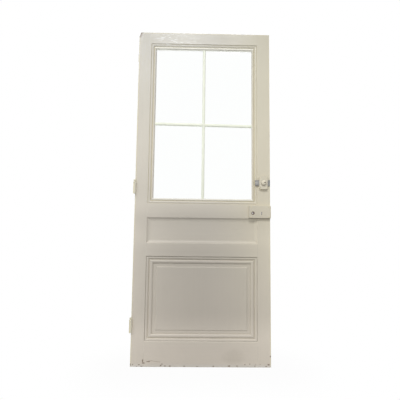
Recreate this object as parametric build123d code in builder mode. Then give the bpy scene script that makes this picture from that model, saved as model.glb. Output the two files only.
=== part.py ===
from build123d import *
from dataclasses import dataclass
from math import acos, asin, atan, cos, pi, radians, sin, tan
import os

# Antique interior door leaf: four panes above, a plain frieze panel and a raised lower panel.
# Sizes are in millimetres. Places on the leaf are measured from its hinge edge and from its foot,
# and depths from its front face, which looks along the negative Y axis.
# The origin is on the hinge axis, at the bearing face of the bottom hinge.

# Leaf
leaf_width = 880
leaf_height = 2180
leaf_thickness = 38
stile_flat = 81
bottom_rail_flat = 151
lower_opening_height = 531
middle_rail_flat = 82
frieze_opening_height = 165
lock_rail_flat = 89
top_rail_flat = 75

# Mouldings worked on the frame, from the flat to the sight edge
window_moulding = 36
frieze_moulding = 22
lower_moulding = 46
quirk_width = 5.5
quirk_depth = 5
fillet_depth = 2
fillet_width = 10
ovolo_width = 10
ovolo_depth = 7
window_groove = 2
lower_groove = 3
window_round_depth = 4
lower_round_depth = 3.5
sight_edge_depth = 10
hollow_lip = 0.8
back_ovolo = 10

# Panels and the grooves that hold them
panel_depth = 12.5
tongue_thickness = 9
groove_reach = 12
panel_play = 2
field_margin = 20
field_rise = 5
field_slope = 45

# Tenons
tenon_thickness = 12
tenon_length = 65
tenon_shoulder = 10
tenon_haunch = 26
tenon_end_gap = 1

# Glazing
rebate_depth = 20
rebate_width = 10
glass_thickness = 3
glass_play = 1.5
putty_height = 10
putty_width = 5
putty_lip = 0.6
bar_width = 18.5
bar_nose = 7
bar_web = 8
bar_front_depth = 9.5
bar_back_depth = 35
bar_tenon_length = 8
bar_tenon_thickness = 10
cross_bar_drop = 13
cross_bar_fall = 8.5

# Hinges, whose lower halves and pins stay on the frame
# The knuckle of the top hinge has broken off
bottom_hinge_height = 208
top_hinge_drop = 228
hinge_gap = 2.5
knuckle_radius = 8
knuckle_standoff = 1.5
knuckle_length = 72
pin_bore_radius = 5
pin_bore_length = 60
collar_height = 4
collar_bulge = 0.6
finial_height = 18
finial_neck_radius = 4.5
finial_radius = 6.5
finial_band = 5
finial_tip_radius = 2.5
finial_tip_height = 4
flap_thickness = 3
flap_width = 30
flap_length = 140
flap_drop = 68
stub_rise = 22
stub_length = 48
stub_reach = 3
stub_depth = 6

# Rim lock
lock_width = 140
lock_height = 80
lock_rise = 2
lock_thickness = 18
lock_wall = 2
lock_corner = 2.5
lock_edge_bevel = 1
forend_thickness = 2
forend_reach = 20
cover_fit = 0.3
spindle_inset = 115
spindle_rise = 32
spindle_square = 8
spindle_hole_radius = 11
follower_radius = 10
follower_clearance = 0.4
follower_flange_radius = 13
follower_flange_thickness = 3
keyhole_inset = 60
keyhole_rise = 30.5
keyhole_height = 19
keyhole_width = 6
keyhole_bow_radius = 4
key_passage_width = 11
key_passage_height = 24
latch_length = 26
latch_width = 10
latch_height = 20
latch_rise = 56
latch_bevel = 9
deadbolt_length = 38
deadbolt_height = 18
deadbolt_rise = 14
bolt_head_fit = 0.3

# Rim bolt
bolt_inset = 45.5
bolt_rise_above_lock = 150.5
bolt_plate_thickness = 2
housing_width = 54.5
housing_height = 87
housing_rise = 44.5
housing_depth = 14
housing_wall = 2.5
housing_corner = 13
housing_edge_bevel = 1.5
slide_clearance = 0.3
bolt_bar_height = 36
bolt_bar_thickness = 5
bolt_bar_length = 97
bolt_bar_tail = 54
bolt_bar_corner = 1.5
pinion_teeth = 12
pinion_module = 1
pressure_angle = 25
tooth_rise = 0.9
tooth_fall = 1.15
tooth_play = 0.2
flank_steps = 3
spare_rack_teeth = 4
pivot_radius = 2.5
pivot_clearance = 0.3
window_clearance = 0.8
knob_radius = 15.5
knob_height = 11
knob_edge = 4
knob_dome_steps = 2
knob_gap = 1
knob_neck_radius = 9
knob_neck_height = 4
knob_shaft_radius = 5
knob_shaft_clearance = 0.3

# Broken corner at the head of the hinge stile
break_edge = [(0, 29), (4, 23), (7.5, 10), (12.5, 0)]
break_back_share = 0.6

# Places worked out from the sizes above
middle_rail_foot = bottom_rail_flat + lower_opening_height
middle_rail_head = middle_rail_foot + middle_rail_flat
lock_rail_foot = middle_rail_head + frieze_opening_height
lock_rail_head = lock_rail_foot + lock_rail_flat
top_rail_foot = leaf_height - top_rail_flat
left_flat = stile_flat
right_flat = leaf_width - stile_flat
leaf_middle = leaf_width / 2
cross_bar_height = (lock_rail_head + top_rail_foot) / 2 - cross_bar_drop
tongue_back = panel_depth + tongue_thickness
tenon_depth = (leaf_thickness - tenon_thickness) / 2
glass_back = rebate_depth + glass_thickness
top_hinge_height = leaf_height - top_hinge_drop
middle_hinge_height = (bottom_hinge_height + top_hinge_height) / 2
lock_foot = lock_rail_foot + lock_rise
lock_left = leaf_width - lock_width
lock_right = leaf_width - forend_thickness
lock_head = lock_foot + lock_height
spindle = (leaf_width - spindle_inset, lock_foot + spindle_rise)
keyhole = (leaf_width - keyhole_inset, lock_foot + keyhole_rise)
bolt_centre = (leaf_width - bolt_inset, lock_head + bolt_rise_above_lock)
bolt_bar_back = bolt_plate_thickness + slide_clearance
bolt_bar_face = bolt_bar_back + bolt_bar_thickness
housing_face = bolt_plate_thickness + housing_depth
pinion_pitch_radius = pinion_module * pinion_teeth / 2
pinion_tip_radius = pinion_pitch_radius + tooth_rise * pinion_module
pinion_root_radius = pinion_pitch_radius - tooth_fall * pinion_module
tooth_pitch = pi * pinion_module
tooth_width = (tooth_pitch - tooth_play) / 2
bolt_throw = pi * pinion_pitch_radius

face_y = knuckle_radius + knuckle_standoff
leaf_foot = -bottom_hinge_height
front = Plane(origin=(hinge_gap, face_y, leaf_foot), x_dir=(1, 0, 0), z_dir=(0, -1, 0))

os.makedirs("parts", exist_ok=True)


@dataclass
class Opening:
    """An opening of the frame between two rails, and the section of the moulding around it."""

    foot: float
    head: float
    moulding: float
    section: Sketch


@dataclass
class Rail:
    """A rail between the stiles, and the heights of its tenons."""

    foot: float
    head: float
    tenon_foot: float
    tenon_head: float


def place(across, up, depth=0):
    """The point at a distance from the hinge edge, a height above the foot and a depth."""
    return front.from_local_coords(Vector(across, up, -depth))


def save(part, name):
    """Names a finished piece and writes it to its own file."""
    part.label = name
    export_step(part, f"parts/{name}.step")


def board(left, foot, right, head, depth, thickness):
    """A plain board of the leaf, from a depth backward."""
    with BuildPart() as piece:
        with BuildSketch(front.offset(-depth)):
            with Locations(((left + right) / 2, (foot + head) / 2)):
                Rectangle(right - left, head - foot)
        extrude(amount=-thickness)
    return piece.part


def draw_ovolo_front(groove, round_depth, width):
    """The front of a rich moulding: quirk, fillet, quarter round, groove and a broad round."""
    ovolo_foot = fillet_depth + ovolo_depth
    ovolo_end = fillet_width + ovolo_width
    round_start = ovolo_end + groove
    Polyline(
        (0, 0),
        (quirk_width, -quirk_depth),
        (quirk_width, -fillet_depth),
        (fillet_width, -fillet_depth),
    )
    TangentArc((fillet_width, -fillet_depth), (ovolo_end, -ovolo_foot), tangent=(1, 0))
    Line((ovolo_end, -ovolo_foot), (round_start, -ovolo_foot))
    ThreePointArc(
        (round_start, -ovolo_foot),
        ((round_start + width) / 2, -round_depth),
        (width, -sight_edge_depth),
    )


def draw_panel_back(width, edge_depth):
    """The back of a moulding that holds a panel: the groove, then a quarter round to the back face."""
    groove_wall = width - groove_reach
    round_foot = leaf_thickness - fillet_depth - back_ovolo
    Polyline(
        (width, -edge_depth),
        (width, -panel_depth),
        (groove_wall, -panel_depth),
        (groove_wall, -tongue_back),
        (width, -tongue_back),
        (width, -round_foot),
    )
    CenterArc((width - back_ovolo, -round_foot), back_ovolo, start_angle=270, arc_size=90)
    Polyline(
        (width - back_ovolo, fillet_depth - leaf_thickness),
        (width - back_ovolo, -leaf_thickness),
        (0, -leaf_thickness),
        (0, 0),
    )


def window_section():
    """Section of the moulding around the glass, with the rebate for the panes at its back."""
    rebate_wall = window_moulding - rebate_width
    with BuildSketch() as section:
        with BuildLine():
            draw_ovolo_front(window_groove, window_round_depth, window_moulding)
            Polyline(
                (window_moulding, -sight_edge_depth),
                (window_moulding, -rebate_depth),
                (rebate_wall, -rebate_depth),
                (rebate_wall, -leaf_thickness),
                (0, -leaf_thickness),
                (0, 0),
            )
        make_face()
    return section.sketch


def lower_section():
    """Section of the moulding around the lower panel."""
    with BuildSketch() as section:
        with BuildLine():
            draw_ovolo_front(lower_groove, lower_round_depth, lower_moulding)
            draw_panel_back(lower_moulding, sight_edge_depth)
        make_face()
    return section.sketch


def frieze_section():
    """Section of the plain hollow around the frieze panel, which ends nearly flush with it."""
    lip_depth = panel_depth - hollow_lip
    with BuildSketch() as section:
        with BuildLine():
            TangentArc((frieze_moulding, -lip_depth), (0, 0), tangent=(-1, 0))
            draw_panel_back(frieze_moulding, lip_depth)
        make_face()
    return section.sketch


lower_opening = Opening(bottom_rail_flat, middle_rail_foot, lower_moulding, lower_section())
frieze_opening = Opening(middle_rail_head, lock_rail_foot, frieze_moulding, frieze_section())
window_opening = Opening(lock_rail_head, top_rail_foot, window_moulding, window_section())
openings = [lower_opening, frieze_opening, window_opening]

bottom_rail = Rail(0, bottom_rail_flat, tenon_haunch, bottom_rail_flat - tenon_shoulder)
middle_rail = Rail(
    middle_rail_foot, middle_rail_head, middle_rail_foot + tenon_shoulder, middle_rail_head - tenon_shoulder
)
lock_rail = Rail(
    lock_rail_foot, lock_rail_head, lock_rail_foot + tenon_shoulder, lock_rail_head - tenon_shoulder
)
top_rail = Rail(top_rail_foot, leaf_height, top_rail_foot + tenon_shoulder, leaf_height - tenon_haunch)
rails = [bottom_rail, middle_rail, lock_rail, top_rail]


def frame_side(opening, side):
    """The moulded strip along one side of an opening, mitred at both ends."""
    starts = {
        "foot": ((left_flat, opening.foot), (0, 0, 1)),
        "right": ((right_flat, opening.foot), (-1, 0, 0)),
        "head": ((right_flat, opening.head), (0, 0, -1)),
        "left": ((left_flat, opening.head), (1, 0, 0)),
    }
    corner, direction = starts[side]
    length = right_flat - left_flat if side in ("foot", "head") else opening.head - opening.foot
    inward = Vector(direction)
    run = inward.cross(front.z_dir)
    start = place(*corner)
    with BuildPart() as strip:
        with BuildSketch(Plane(start, x_dir=inward, z_dir=run)):
            add(opening.section)
        extrude(amount=length)
        split(bisect_by=Plane(start, z_dir=run - inward))
        split(bisect_by=Plane(start + run * length, z_dir=-run - inward))
    return strip.part


def tenon(rail, side, end_gap=0):
    """A tenon of a rail, or its mortise with a gap at the end."""
    reach = tenon_length + end_gap
    left = left_flat - reach if side == "left" else right_flat
    return board(left, rail.tenon_foot, left + reach, rail.tenon_head, tenon_depth, tenon_thickness)


def cross_bar_level(across):
    """Height of the middle of the cross bar, which falls a little towards the lock side."""
    sight_width = right_flat - left_flat - 2 * window_moulding
    return cross_bar_height - cross_bar_fall * (across - leaf_middle) / sight_width


cross_bar_angle = atan(cross_bar_fall / (right_flat - left_flat - 2 * window_moulding))
cross_bar_run = place(right_flat, cross_bar_level(right_flat)) - place(0, cross_bar_level(0))
cross_bar_direction = cross_bar_run.normalized()


def bar_section():
    """Section of the glazing bar's nose: a flat and two quarter rounds, back to the glass."""
    half_width = bar_width / 2
    half_nose = bar_nose / 2
    nose_round = half_width - half_nose
    shoulder = bar_front_depth + nose_round
    with BuildSketch() as section:
        with BuildLine():
            Polyline(
                (half_width, -shoulder),
                (half_width, -rebate_depth),
                (-half_width, -rebate_depth),
                (-half_width, -shoulder),
            )
            CenterArc((half_nose, -shoulder), nose_round, start_angle=0, arc_size=90)
            Line((half_nose, -bar_front_depth), (-half_nose, -bar_front_depth))
            CenterArc((-half_nose, -shoulder), nose_round, start_angle=90, arc_size=90)
        make_face()
    return section.sketch


def bar_stick(start, direction, nose_span, web_span, tenon_span):
    """A length of glazing bar: its nose, its web and its tenons, each from one distance to another."""
    across = front.z_dir.cross(direction)
    spans = [
        (web_span, rebate_depth, bar_back_depth),
        (tenon_span, rebate_depth, rebate_depth + bar_tenon_thickness),
    ]
    with BuildPart() as stick:
        with BuildSketch(Plane(start + direction * nose_span[0], x_dir=across, z_dir=direction)):
            add(bar_section())
        extrude(amount=nose_span[1] - nose_span[0])
        for span, near, far in spans:
            with BuildSketch(Plane(start + direction * span[0], x_dir=across, z_dir=direction)):
                with Locations((0, -(near + far) / 2)):
                    Rectangle(bar_web, far - near)
            extrude(amount=span[1] - span[0])
    return stick.part


def upright_bar():
    """The glazing bar from the lock rail to the top rail."""
    sight_foot = lock_rail_head + window_moulding
    sight_length = top_rail_foot - window_moulding - sight_foot
    web_span = (-rebate_width, sight_length + rebate_width)
    tenon_span = (web_span[0] - bar_tenon_length, web_span[1] + bar_tenon_length)
    start = place(leaf_middle, sight_foot)
    return bar_stick(start, Vector(0, 0, 1), (0, sight_length), web_span, tenon_span)


def cross_bar(side):
    """The glazing bar from a stile to the upright bar, scribed over the upright bar's nose."""
    start = place(0, cross_bar_level(0))
    to_slope = 1 / cos(cross_bar_angle)
    sight = left_flat + window_moulding
    tenon_end = sight - rebate_width - bar_tenon_length
    length = leaf_width * to_slope
    whole = bar_stick(start, cross_bar_direction, (0, length), (0, length), (0, length))
    nose = trim(whole, sight, leaf_width - sight, bar_front_depth, rebate_depth)
    web = trim(whole, sight - rebate_width, leaf_width - sight + rebate_width, rebate_depth, bar_back_depth)
    stub = trim(whole, tenon_end, leaf_width - tenon_end, rebate_depth, rebate_depth + bar_tenon_thickness)
    with BuildPart() as bar:
        add(nose)
        add(web)
        add(stub)
        add(upright_bar(), mode=Mode.SUBTRACT)
        split(bisect_by=Plane(place(leaf_middle, 0), z_dir=(-1 if side == "left" else 1, 0, 0)))
    return bar.part


def trim(part, left, right, near, far):
    """What of a part lies between two distances from the hinge edge and two depths."""
    window = board(left, 0, right, leaf_height, near, far - near)
    with BuildPart() as kept:
        add(part)
        add(window, mode=Mode.INTERSECT)
    return kept.part


def pane_corners(column, row, inset):
    """Corners of a pane's rebate, drawn in from its walls by an inset."""
    wall = left_flat + window_moulding - rebate_width
    half_web = bar_web / 2
    rise = half_web / cos(cross_bar_angle)
    if column == "left":
        left, right = wall + inset, leaf_middle - half_web - inset
    else:
        left, right = leaf_middle + half_web + inset, leaf_width - wall - inset
    if row == "lower":
        foot = lock_rail_head + window_moulding - rebate_width + inset
        heads = [cross_bar_level(across) - rise - inset for across in (right, left)]
        return [(left, foot), (right, foot), (right, heads[0]), (left, heads[1])]
    head = top_rail_foot - window_moulding + rebate_width - inset
    feet = [cross_bar_level(across) + rise + inset for across in (left, right)]
    return [(left, feet[0]), (right, feet[1]), (right, head), (left, head)]


def pane(column, row):
    """A sheet of glass with play all round."""
    with BuildPart() as glass:
        with BuildSketch(front.offset(-rebate_depth)):
            Polygon(*pane_corners(column, row, glass_play), align=None)
        extrude(amount=-glass_thickness)
    return glass.part


def putty(column, row):
    """The fillet of putty that holds a pane from behind."""
    with BuildPart() as fillet_ring:
        with BuildSketch(front.offset(-glass_back)):
            Polygon(*pane_corners(column, row, 0), align=None)
        extrude(amount=-putty_height)
        with BuildSketch(front.offset(-glass_back)):
            Polygon(*pane_corners(column, row, putty_width), align=None)
        with BuildSketch(front.offset(-glass_back - putty_height)):
            Polygon(*pane_corners(column, row, putty_lip), align=None)
        loft(mode=Mode.SUBTRACT)
    return fillet_ring.part


def stile(side):
    """A stile with its mouldings, its mortises and the sockets of the cross bar."""
    left = 0 if side == "left" else right_flat
    core = board(left, 0, left + stile_flat, leaf_height, 0, leaf_thickness)
    strips = [frame_side(opening, side) for opening in openings]
    mortises = [tenon(rail, side, tenon_end_gap) for rail in rails]
    with BuildPart() as member:
        add(core)
        add(strips)
        add(mortises, mode=Mode.SUBTRACT)
        add(cross_bar(side), mode=Mode.SUBTRACT)
    return member.part


def rail_part(rail, sides):
    """A rail with a tenon at each end and a moulding on each edge that faces an opening."""
    core = board(left_flat, rail.foot, right_flat, rail.head, 0, leaf_thickness)
    strips = [frame_side(opening, side) for opening, side in sides]
    tenons = [tenon(rail, side) for side in ("left", "right")]
    with BuildPart() as member:
        add(core)
        add(strips)
        add(tenons)
    return member.part


def flat_panel(opening):
    """A board with its edges in the grooves of an opening."""
    edge = opening.moulding - groove_reach + panel_play
    return board(
        left_flat + edge,
        opening.foot + edge,
        right_flat - edge,
        opening.head - edge,
        panel_depth,
        tongue_thickness,
    )


def raised_panel(opening):
    """A panel with a flat margin and a field that stands proud of it, its edge sloped."""
    tongue = flat_panel(opening)
    edge = opening.moulding + field_margin
    width = right_flat - left_flat - 2 * edge
    height = opening.head - opening.foot - 2 * edge
    with BuildPart() as panel:
        add(tongue)
        with BuildSketch(front.offset(-panel_depth)):
            with Locations((leaf_middle, (opening.foot + opening.head) / 2)):
                Rectangle(width, height)
        extrude(amount=field_rise, taper=field_slope)
    return panel.part


def hinge_flap(foot):
    """The flap of a hinge, let in flush with the edge of the stile."""
    flap_foot = foot - flap_drop
    with BuildPart() as flap:
        with BuildSketch(front):
            with Locations((flap_thickness / 2, flap_foot + flap_length / 2)):
                Rectangle(flap_thickness, flap_length)
        extrude(amount=-flap_width)
    return flap.part


def hinge(foot):
    """The upper half of a lift-off hinge: bored knuckle, collar and turned finial, on its flap."""
    base = foot - bottom_hinge_height
    collar_radius = knuckle_radius + collar_bulge
    finial_foot = knuckle_length + collar_height
    finial_head = finial_foot + finial_height
    band_head = finial_head - finial_tip_height
    band_foot = band_head - finial_band
    neck = (finial_neck_radius, (finial_foot + band_foot) / 2)
    neck_wall = (pin_bore_radius + knuckle_radius) / 2
    flap = hinge_flap(foot)
    with BuildPart() as half:
        with BuildSketch(Plane((0, 0, base), x_dir=(1, 0, 0), z_dir=(0, -1, 0))):
            with BuildLine():
                Polyline(
                    (0, finial_head),
                    (0, pin_bore_length),
                    (pin_bore_radius, pin_bore_length),
                    (pin_bore_radius, 0),
                    (knuckle_radius, 0),
                    (knuckle_radius, knuckle_length),
                    (collar_radius, knuckle_length),
                    (collar_radius, finial_foot),
                    neck,
                    (finial_radius, band_foot),
                    (finial_radius, band_head),
                    (finial_tip_radius, finial_head),
                    (0, finial_head),
                )
            make_face()
        revolve(axis=Axis.Z)
        with BuildSketch(Plane((0, 0, base))):
            with Locations((hinge_gap + flap_thickness / 2, (neck_wall + face_y) / 2)):
                Rectangle(flap_thickness, face_y - neck_wall)
        extrude(amount=knuckle_length)
        add(flap)
    return half.part


def broken_hinge(foot):
    """What is left of a hinge whose knuckle broke off: its flap and a stub of the knuckle."""
    flap = hinge_flap(foot)
    stub_foot = foot + stub_rise
    stub = board(-stub_reach, stub_foot, flap_thickness, stub_foot + stub_length, 0, stub_depth)
    with BuildPart() as remains:
        add(flap)
        add(stub)
    return remains.part


def keyhole_sketch_points():
    """Middle of the keyhole's round bow, above the middle of its slot."""
    return (keyhole[0], keyhole[1] + keyhole_height / 2 - keyhole_bow_radius)


def draw_keyhole():
    """The keyhole: a round bow over a slot."""
    bow = keyhole_sketch_points()
    foot = keyhole[1] - keyhole_height / 2
    with Locations(bow):
        Circle(keyhole_bow_radius)
    with Locations((keyhole[0], (foot + bow[1]) / 2)):
        Rectangle(keyhole_width, bow[1] - foot)


def key_passage():
    """The way for the key through the wood behind the lock."""
    with BuildPart() as passage:
        with BuildSketch(front):
            with Locations(keyhole):
                SlotOverall(key_passage_height, key_passage_width, rotation=90)
        extrude(amount=-leaf_thickness)
    return passage.part


def spindle_hole():
    """The hole for the handle's spindle through the wood behind the lock."""
    with BuildPart() as hole:
        with BuildSketch(front):
            with Locations(spindle):
                Circle(spindle_hole_radius)
        extrude(amount=-leaf_thickness)
    return hole.part


def forend_plate():
    """The plate at the door's edge, across the lock's end and let into the stile."""
    depth = lock_thickness + forend_reach
    return board(lock_right, lock_foot, leaf_width, lock_head, -lock_thickness, depth)


def bolt_head(rise, length, height, fit=0):
    """The head of a lock bolt, resting on the lower edge of its hole. A fit makes the hole."""
    middle_depth = -lock_thickness / 2
    near = middle_depth - latch_width / 2 - fit
    return board(
        leaf_width - length,
        lock_foot + rise,
        leaf_width,
        lock_foot + rise + height + fit,
        near,
        latch_width + 2 * fit,
    )


def latch():
    """The spring bolt, drawn in flush, with its nose bevelled for the frame."""
    head = bolt_head(latch_rise, latch_length, latch_height)
    with BuildPart() as bolt:
        add(head)
        nose = bolt.faces().sort_by(Axis.X)[-1].edges().filter_by(Axis.Z).sort_by(Axis.Y)[-1]
        chamfer(nose, length=latch_bevel)
    return bolt.part


def lock_case():
    """The painted lock case, open towards the door, with its spindle hole and keyhole."""
    inner = board(
        lock_left + lock_wall,
        lock_foot + lock_wall,
        lock_right - lock_wall,
        lock_head - lock_wall,
        lock_wall - lock_thickness,
        lock_thickness - lock_wall,
    )
    outer = board(lock_left, lock_foot, lock_right, lock_head, -lock_thickness, lock_thickness)
    holes = [
        bolt_head(latch_rise, latch_length, latch_height, bolt_head_fit),
        bolt_head(deadbolt_rise, deadbolt_length, deadbolt_height, bolt_head_fit),
    ]
    with BuildPart() as case:
        add(outer)
        fillet(case.edges().filter_by(Axis.Y).sort_by(Axis.X)[:2], radius=lock_corner)
        chamfer(case.faces().sort_by(Axis.Y)[0].edges(), length=lock_edge_bevel)
        add(inner, mode=Mode.SUBTRACT)
        add(holes, mode=Mode.SUBTRACT)
        with BuildSketch(front.offset(lock_thickness)):
            with Locations(spindle):
                Circle(follower_radius + follower_clearance)
            draw_keyhole()
        extrude(amount=-lock_wall, mode=Mode.SUBTRACT)
    return case.part


def lock_cover():
    """The plate that closes the back of the lock case against the door."""
    plate = board(
        lock_left + lock_wall + cover_fit,
        lock_foot + lock_wall,
        lock_right - lock_wall - cover_fit,
        lock_head - lock_wall - cover_fit,
        -lock_wall,
        lock_wall,
    )
    with BuildPart() as cover:
        add(plate)
        with BuildSketch(front):
            with Locations(spindle):
                Circle(follower_radius + follower_clearance)
            draw_keyhole()
        extrude(amount=lock_wall, mode=Mode.SUBTRACT)
    return cover.part


def lock_forend():
    """The forend with the holes for the two bolts."""
    plate = forend_plate()
    holes = [
        bolt_head(latch_rise, latch_length, latch_height, bolt_head_fit),
        bolt_head(deadbolt_rise, deadbolt_length, deadbolt_height, bolt_head_fit),
    ]
    with BuildPart() as forend:
        add(plate)
        add(holes, mode=Mode.SUBTRACT)
    return forend.part


def lock_follower():
    """The hub that the spindle turns, with a flange inside the case and a square hole set on its corner."""
    axis_plane = Plane(place(*spindle), x_dir=(1, 0, 0), z_dir=(0, -1, 0))
    flange_foot = lock_thickness - lock_wall - follower_clearance - follower_flange_thickness
    with BuildPart() as follower:
        with BuildSketch(axis_plane):
            Circle(follower_radius)
        extrude(amount=lock_thickness - follower_clearance)
        with BuildSketch(axis_plane.offset(flange_foot)):
            Circle(follower_flange_radius)
        extrude(amount=follower_flange_thickness)
        with BuildSketch(axis_plane):
            Rectangle(spindle_square, spindle_square, rotation=45)
        extrude(amount=lock_thickness, mode=Mode.SUBTRACT)
    return follower.part


def bolt_outline(shrink=0):
    """Outline of the bolt's plate and housing, with well rounded corners."""
    head = bolt_centre[1] + housing_rise
    with BuildSketch() as outline:
        with Locations((bolt_centre[0], head - housing_height / 2)):
            Rectangle(housing_width - 2 * shrink, housing_height - 2 * shrink)
        fillet(outline.vertices(), radius=housing_corner - shrink)
    return outline.sketch


def bolt_plate():
    """The back plate that the bolt bar slides on, with the hole for the pinion's pivot."""
    with BuildPart() as plate:
        with BuildSketch(front):
            add(bolt_outline())
            with Locations(bolt_centre):
                Circle(pivot_radius + pivot_clearance, mode=Mode.SUBTRACT)
        extrude(amount=bolt_plate_thickness)
    return plate.part


def bolt_housing():
    """The painted cover over the bolt bar, open through both sides for the bar and bored for the knob."""
    slot_half = bolt_bar_height / 2 + slide_clearance
    slot = board(
        bolt_centre[0] - housing_width,
        bolt_centre[1] - slot_half,
        bolt_centre[0] + housing_width,
        bolt_centre[1] + slot_half,
        -bolt_bar_face - slide_clearance,
        bolt_bar_thickness + 2 * slide_clearance,
    )
    with BuildPart() as housing:
        with BuildSketch(front.offset(bolt_plate_thickness)):
            add(bolt_outline())
        extrude(amount=housing_depth)
        chamfer(housing.faces().sort_by(Axis.Y)[0].edges(), length=housing_edge_bevel)
        with BuildSketch(front.offset(bolt_plate_thickness)):
            add(bolt_outline(housing_wall))
        extrude(amount=housing_depth - housing_wall, mode=Mode.SUBTRACT)
        with BuildSketch(front.offset(housing_face)):
            with Locations(bolt_centre):
                Circle(knob_shaft_radius + knob_shaft_clearance)
        extrude(amount=-housing_wall, mode=Mode.SUBTRACT)
        add(slot, mode=Mode.SUBTRACT)
    return housing.part


def bolt_bar():
    """The flat steel bar, with the window for the pinion and the rack along the window's head."""
    window_reach = pinion_tip_radius + window_clearance
    window_foot = bolt_centre[1] - window_reach
    rack_foot = bolt_centre[1] + pinion_pitch_radius + tooth_fall * pinion_module
    tooth_height = (tooth_rise + tooth_fall) * pinion_module
    tooth_foot_width = tooth_width + 2 * tooth_fall * pinion_module * tan(radians(pressure_angle))
    rack_teeth = pinion_teeth // 2 + spare_rack_teeth
    bar_middle = bolt_centre[0] - bolt_bar_tail + bolt_bar_length / 2
    window_middle = bolt_centre[0] - bolt_throw / 2
    with BuildPart() as bar:
        with BuildSketch(front.offset(bolt_bar_back)):
            with Locations((bar_middle, bolt_centre[1])):
                RectangleRounded(bolt_bar_length, bolt_bar_height, bolt_bar_corner)
            with Locations((window_middle, (window_foot + rack_foot) / 2)):
                Rectangle(bolt_throw + 2 * window_reach, rack_foot - window_foot, mode=Mode.SUBTRACT)
            with Locations((window_middle, rack_foot - tooth_height / 2)):
                with GridLocations(tooth_pitch, tooth_pitch, rack_teeth, 1):
                    Trapezoid(tooth_foot_width, tooth_height, 90 - pressure_angle, rotation=180)
        extrude(amount=bolt_bar_thickness)
    return bar.part


def involute(angle):
    """The involute function of a pressure angle in radians."""
    return tan(angle) - angle


def tooth_flank(side):
    """Points up one flank of a pinion tooth that points along X, from the base circle to the tip."""
    base_radius = pinion_pitch_radius * cos(radians(pressure_angle))
    half_tooth = tooth_width / (2 * pinion_pitch_radius) + involute(radians(pressure_angle))
    points = []
    for step in range(flank_steps + 1):
        radius = base_radius + (pinion_tip_radius - base_radius) * step / flank_steps
        angle = side * (half_tooth - involute(acos(base_radius / radius)))
        points.append((radius * cos(angle), radius * sin(angle)))
    return points


def pinion_outline():
    """Outline of the pinion, with one tooth pointing straight up into the rack."""
    with BuildSketch() as outline:
        Circle(pinion_root_radius)
        with PolarLocations(0, pinion_teeth, start_angle=90):
            Polygon((0, 0), *tooth_flank(-1), *reversed(tooth_flank(1)), align=None)
    return outline.sketch


def dome_points(foot):
    """Points down the knob's domed face, from the end of its crown to its rim."""
    rise = knob_height - knob_edge
    dome_radius = (knob_radius**2 + rise**2) / (2 * rise)
    rim_angle = asin(knob_radius / dome_radius)
    angles = [rim_angle * step / knob_dome_steps for step in range(1, knob_dome_steps + 1)]
    return [(dome_radius * sin(a), foot + knob_height - dome_radius * (1 - cos(a))) for a in angles]


def bolt_knob():
    """The domed knob, its shaft through the housing, and the pinion on its pivot in the back plate."""
    shaft_plane = Plane(place(*bolt_centre), x_dir=(1, 0, 0), z_dir=(0, 0, -1))
    neck_foot = housing_face + knob_gap
    disc_foot = neck_foot + knob_neck_height
    with BuildPart() as knob:
        with BuildSketch(shaft_plane):
            with BuildLine():
                Polyline(
                    (0, disc_foot + knob_height),
                    (0, pivot_clearance),
                    (pivot_radius, pivot_clearance),
                    (pivot_radius, bolt_bar_face),
                    (knob_shaft_radius, bolt_bar_face),
                    (knob_shaft_radius, neck_foot),
                    (knob_neck_radius, neck_foot),
                    (knob_neck_radius, disc_foot),
                    (knob_radius, disc_foot),
                    *reversed(dome_points(disc_foot)),
                    (0, disc_foot + knob_height),
                )
            make_face()
        revolve(axis=Axis(place(*bolt_centre), front.z_dir))
        with BuildSketch(Plane(place(*bolt_centre, -bolt_bar_back), x_dir=(1, 0, 0), z_dir=front.z_dir)):
            add(pinion_outline())
        extrude(amount=bolt_bar_thickness)
    return knob.part


def broken_corner():
    """The wood missing at the head of the hinge stile, less of it towards the back."""
    with BuildPart() as missing:
        for depth, share in ((0, 1), (leaf_thickness, break_back_share)):
            edge = [(across * share, leaf_height - down * share) for across, down in break_edge]
            foot = (-hinge_gap, edge[0][1])
            head = (edge[-1][0], leaf_height + hinge_gap)
            with BuildSketch(front.offset(-depth)):
                Polygon((-hinge_gap, leaf_height + hinge_gap), foot, *edge, head, align=None)
        loft()
    return missing.part


# The frame
flaps = [hinge_flap(height) for height in (bottom_hinge_height, middle_hinge_height, top_hinge_height)]
with BuildPart() as hinge_stile:
    add(stile("left"))
    add(flaps, mode=Mode.SUBTRACT)
    add(broken_corner(), mode=Mode.SUBTRACT)
save(hinge_stile.part, "hinge_stile")

with BuildPart() as lock_stile:
    add(stile("right"))
    add(forend_plate(), mode=Mode.SUBTRACT)
    add(key_passage(), mode=Mode.SUBTRACT)
save(lock_stile.part, "lock_stile")

with BuildPart() as lock_rail_member:
    add(rail_part(lock_rail, [(frieze_opening, "head"), (window_opening, "foot")]))
    add(upright_bar(), mode=Mode.SUBTRACT)
    add(spindle_hole(), mode=Mode.SUBTRACT)
    add(key_passage(), mode=Mode.SUBTRACT)
save(lock_rail_member.part, "lock_rail")

with BuildPart() as top_rail_member:
    add(rail_part(top_rail, [(window_opening, "head")]))
    add(upright_bar(), mode=Mode.SUBTRACT)
save(top_rail_member.part, "top_rail")

save(rail_part(middle_rail, [(lower_opening, "head"), (frieze_opening, "foot")]), "middle_rail")
save(rail_part(bottom_rail, [(lower_opening, "foot")]), "bottom_rail")

# The panels
save(flat_panel(frieze_opening), "frieze_panel")
save(raised_panel(lower_opening), "lower_panel")

# The glazing
save(upright_bar(), "glazing_bar_upright")
for side in ("left", "right"):
    save(cross_bar(side), f"glazing_bar_{side}")
    for row in ("upper", "lower"):
        save(pane(side, row), f"glass_{row}_{side}")
        save(putty(side, row), f"putty_{row}_{side}")

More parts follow.
